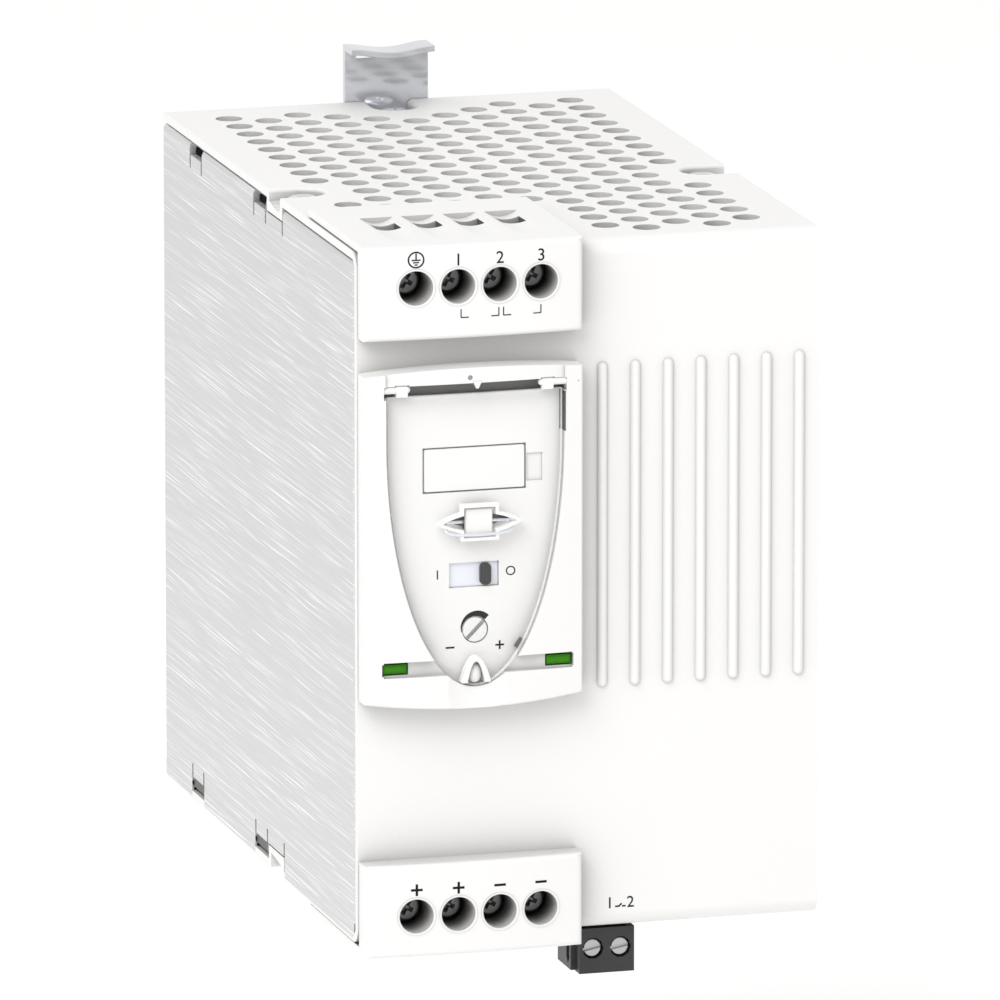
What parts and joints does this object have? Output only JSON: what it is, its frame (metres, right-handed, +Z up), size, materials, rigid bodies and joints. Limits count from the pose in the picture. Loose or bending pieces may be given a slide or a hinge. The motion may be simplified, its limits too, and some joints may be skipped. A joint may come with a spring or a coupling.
{
  "type": "din rail power supply",
  "caption": "Rail-mounted power supply in a vented sheet-metal case with bowed screw-terminal blocks, a hinged clear front flap, a plug-in relay contact and a sprung rail latch.",
  "frame": {"origin": "centre of the rail seat pad on the back of the rail bracket", "axes": "+Y out of the back towards the rail, +Z up, +X to the right seen from the front"},
  "size_m": [0.085, 0.1458, 0.1449],
  "materials": {
    "white_paint": "smooth off-white paint",
    "white_moulding": "smooth off-white moulding",
    "brushed_sheet": "brushed along the depth",
    "zinc_steel": "zinc plated",
    "dark_steel": "dark plated",
    "bright_steel": "bright plated",
    "clear_plastic": "clear",
    "card": "plain card",
    "black_plastic": "fine matt",
    "pale_plastic": "smooth",
    "green_window": "green light guide",
    "board": "coated laminate",
    "ferrite": "plain ferrite",
    "winding": "lacquered winding",
    "capacitor_sleeve": "shrunk sleeve",
    "aluminium": "as extruded"
  },
  "bodies": {
    "case": {"alarm_relay": "black_plastic", "bottom_screw_left": "bright_steel", "bottom_screw_right": "bright_steel", "bracket_screw_left": "bright_steel", "bracket_screw_right": "bright_steel", "bulk_capacitor_1": "capacitor_sleeve", "bulk_capacitor_2": "capacitor_sleeve", "control_board": "board", "cover_shell": "white_paint", "flap_pin_left": "white_moulding", "flap_pin_right": "white_moulding", "front_bezel": "white_moulding", "front_board": "board", "heat_sink": "aluminium", "label_card": "card", "latch_spring": "bright_steel", "left_side_panel": "brushed_sheet", "light_guide_left": "green_window", "light_guide_right": "green_window", "line_choke": "winding", "lower_terminal_block": "white_moulding", "main_board": "board", "rail_bracket": "zinc_steel", "rear_plate": "zinc_steel", "relay_header": "black_plastic", "right_side_panel": "brushed_sheet", "seal_ring": "bright_steel", "switch_body": "pale_plastic", "top_screw_left": "bright_steel", "top_screw_rear": "bright_steel", "top_screw_right": "bright_steel", "transformer_core": "ferrite", "transformer_winding": "winding", "trimmer_body": "pale_plastic", "upper_terminal_block": "white_moulding"},
    "latch": {"rail_latch": "zinc_steel"},
    "flap": {"front_flap": "clear_plastic"},
    "knob": {"switch_knob": "black_plastic"},
    "trimmer": {"trimmer_screw": "pale_plastic"},
    "plug": {"relay_plug": "black_plastic"},
    "upper_screw_1_body": {"upper_screw_1": "dark_steel"},
    "upper_clamp_1_body": {"upper_clamp_1": "zinc_steel"},
    "upper_screw_2_body": {"upper_screw_2": "dark_steel"},
    "upper_clamp_2_body": {"upper_clamp_2": "zinc_steel"},
    "upper_screw_3_body": {"upper_screw_3": "dark_steel"},
    "upper_clamp_3_body": {"upper_clamp_3": "zinc_steel"},
    "upper_screw_4_body": {"upper_screw_4": "dark_steel"},
    "upper_clamp_4_body": {"upper_clamp_4": "zinc_steel"},
    "lower_screw_1_body": {"lower_screw_1": "dark_steel"},
    "lower_clamp_1_body": {"lower_clamp_1": "zinc_steel"},
    "lower_screw_2_body": {"lower_screw_2": "dark_steel"},
    "lower_clamp_2_body": {"lower_clamp_2": "zinc_steel"},
    "lower_screw_3_body": {"lower_screw_3": "dark_steel"},
    "lower_clamp_3_body": {"lower_clamp_3": "zinc_steel"},
    "lower_screw_4_body": {"lower_screw_4": "dark_steel"},
    "lower_clamp_4_body": {"lower_clamp_4": "zinc_steel"},
    "relay_screw_1_body": {"relay_screw_1": "bright_steel"},
    "relay_clamp_1_body": {"relay_clamp_1": "zinc_steel"},
    "relay_screw_2_body": {"relay_screw_2": "bright_steel"},
    "relay_clamp_2_body": {"relay_clamp_2": "zinc_steel"}
  },
  "joints": [
    {"name": "rail_latch_slide", "type": "slide", "parent": "case", "child": "latch", "axis": [0, 0, -1], "range_m": [0, 0.005], "stiffness_N_per_m": 800, "springref_m": -0.003, "deforming": ["latch_spring"]},
    {"name": "flap_hinge", "type": "hinge", "parent": "case", "child": "flap", "pos_m": [-0.0221, -0.141, 0.0349], "axis": [-1, 0, 0], "range_deg": [0, 90]},
    {"name": "switch_slide", "type": "slide", "parent": "case", "child": "knob", "axis": [-1, 0, 0], "range_m": [0, 0.0045]},
    {"name": "trimmer_turn", "type": "hinge", "parent": "case", "child": "trimmer", "pos_m": [-0.0216, -0.1399, -0.0094], "axis": [0, 1, 0], "range_deg": [0, 270]},
    {"name": "upper_screw_1_turn", "type": "hinge", "parent": "case", "child": "upper_screw_1_body", "pos_m": [-0.03303, -0.1359, 0.0532], "axis": [0, 1, 0], "range_deg": [0, 1800]},
    {"name": "upper_clamp_1_slide", "type": "slide", "parent": "case", "child": "upper_clamp_1_body", "axis": [0, -1, 0], "range_m": [0, 0.0025]},
    {"name": "upper_screw_2_turn", "type": "hinge", "parent": "case", "child": "upper_screw_2_body", "pos_m": [-0.02541, -0.1359, 0.0532], "axis": [0, 1, 0], "range_deg": [0, 1800]},
    {"name": "upper_clamp_2_slide", "type": "slide", "parent": "case", "child": "upper_clamp_2_body", "axis": [0, -1, 0], "range_m": [0, 0.0025]},
    {"name": "upper_screw_3_turn", "type": "hinge", "parent": "case", "child": "upper_screw_3_body", "pos_m": [-0.01779, -0.1359, 0.0532], "axis": [0, 1, 0], "range_deg": [0, 1800]},
    {"name": "upper_clamp_3_slide", "type": "slide", "parent": "case", "child": "upper_clamp_3_body", "axis": [0, -1, 0], "range_m": [0, 0.0025]},
    {"name": "upper_screw_4_turn", "type": "hinge", "parent": "case", "child": "upper_screw_4_body", "pos_m": [-0.01017, -0.1359, 0.0532], "axis": [0, 1, 0], "range_deg": [0, 1800]},
    {"name": "upper_clamp_4_slide", "type": "slide", "parent": "case", "child": "upper_clamp_4_body", "axis": [0, -1, 0], "range_m": [0, 0.0025]},
    {"name": "lower_screw_1_turn", "type": "hinge", "parent": "case", "child": "lower_screw_1_body", "pos_m": [-0.03303, -0.1359, -0.0602], "axis": [0, 1, 0], "range_deg": [0, 1800]},
    {"name": "lower_clamp_1_slide", "type": "slide", "parent": "case", "child": "lower_clamp_1_body", "axis": [0, -1, 0], "range_m": [0, 0.0025]},
    {"name": "lower_screw_2_turn", "type": "hinge", "parent": "case", "child": "lower_screw_2_body", "pos_m": [-0.02541, -0.1359, -0.0602], "axis": [0, 1, 0], "range_deg": [0, 1800]},
    {"name": "lower_clamp_2_slide", "type": "slide", "parent": "case", "child": "lower_clamp_2_body", "axis": [0, -1, 0], "range_m": [0, 0.0025]},
    {"name": "lower_screw_3_turn", "type": "hinge", "parent": "case", "child": "lower_screw_3_body", "pos_m": [-0.01779, -0.1359, -0.0602], "axis": [0, 1, 0], "range_deg": [0, 1800]},
    {"name": "lower_clamp_3_slide", "type": "slide", "parent": "case", "child": "lower_clamp_3_body", "axis": [0, -1, 0], "range_m": [0, 0.0025]},
    {"name": "lower_screw_4_turn", "type": "hinge", "parent": "case", "child": "lower_screw_4_body", "pos_m": [-0.01017, -0.1359, -0.0602], "axis": [0, 1, 0], "range_deg": [0, 1800]},
    {"name": "lower_clamp_4_slide", "type": "slide", "parent": "case", "child": "lower_clamp_4_body", "axis": [0, -1, 0], "range_m": [0, 0.0025]},
    {"name": "relay_plug_slide", "type": "slide", "parent": "case", "child": "plug", "axis": [0, 0, -1], "range_m": [0, 0.014]},
    {"name": "relay_screw_1_turn", "type": "hinge", "parent": "plug", "child": "relay_screw_1_body", "pos_m": [0.00206, -0.1327, -0.07064], "axis": [0, 1, 0], "range_deg": [0, 960]},
    {"name": "relay_clamp_1_slide", "type": "slide", "parent": "plug", "child": "relay_clamp_1_body", "axis": [0, -1, 0], "range_m": [0, 0.0012]},
    {"name": "relay_screw_2_turn", "type": "hinge", "parent": "plug", "child": "relay_screw_2_body", "pos_m": [0.00714, -0.1327, -0.07064], "axis": [0, 1, 0], "range_deg": [0, 960]},
    {"name": "relay_clamp_2_slide", "type": "slide", "parent": "plug", "child": "relay_clamp_2_body", "axis": [0, -1, 0], "range_m": [0, 0.0012]}
  ],
  "couplings": [
    {"joint": "upper_screw_1_turn", "follows": "upper_clamp_1_slide", "rad_per_m": 12566},
    {"joint": "upper_screw_2_turn", "follows": "upper_clamp_2_slide", "rad_per_m": 12566},
    {"joint": "upper_screw_3_turn", "follows": "upper_clamp_3_slide", "rad_per_m": 12566},
    {"joint": "upper_screw_4_turn", "follows": "upper_clamp_4_slide", "rad_per_m": 12566},
    {"joint": "lower_screw_1_turn", "follows": "lower_clamp_1_slide", "rad_per_m": 12566},
    {"joint": "lower_screw_2_turn", "follows": "lower_clamp_2_slide", "rad_per_m": 12566},
    {"joint": "lower_screw_3_turn", "follows": "lower_clamp_3_slide", "rad_per_m": 12566},
    {"joint": "lower_screw_4_turn", "follows": "lower_clamp_4_slide", "rad_per_m": 12566},
    {"joint": "relay_screw_1_turn", "follows": "relay_clamp_1_slide", "rad_per_m": 13963},
    {"joint": "relay_screw_2_turn", "follows": "relay_clamp_2_slide", "rad_per_m": 13963}
  ]
}
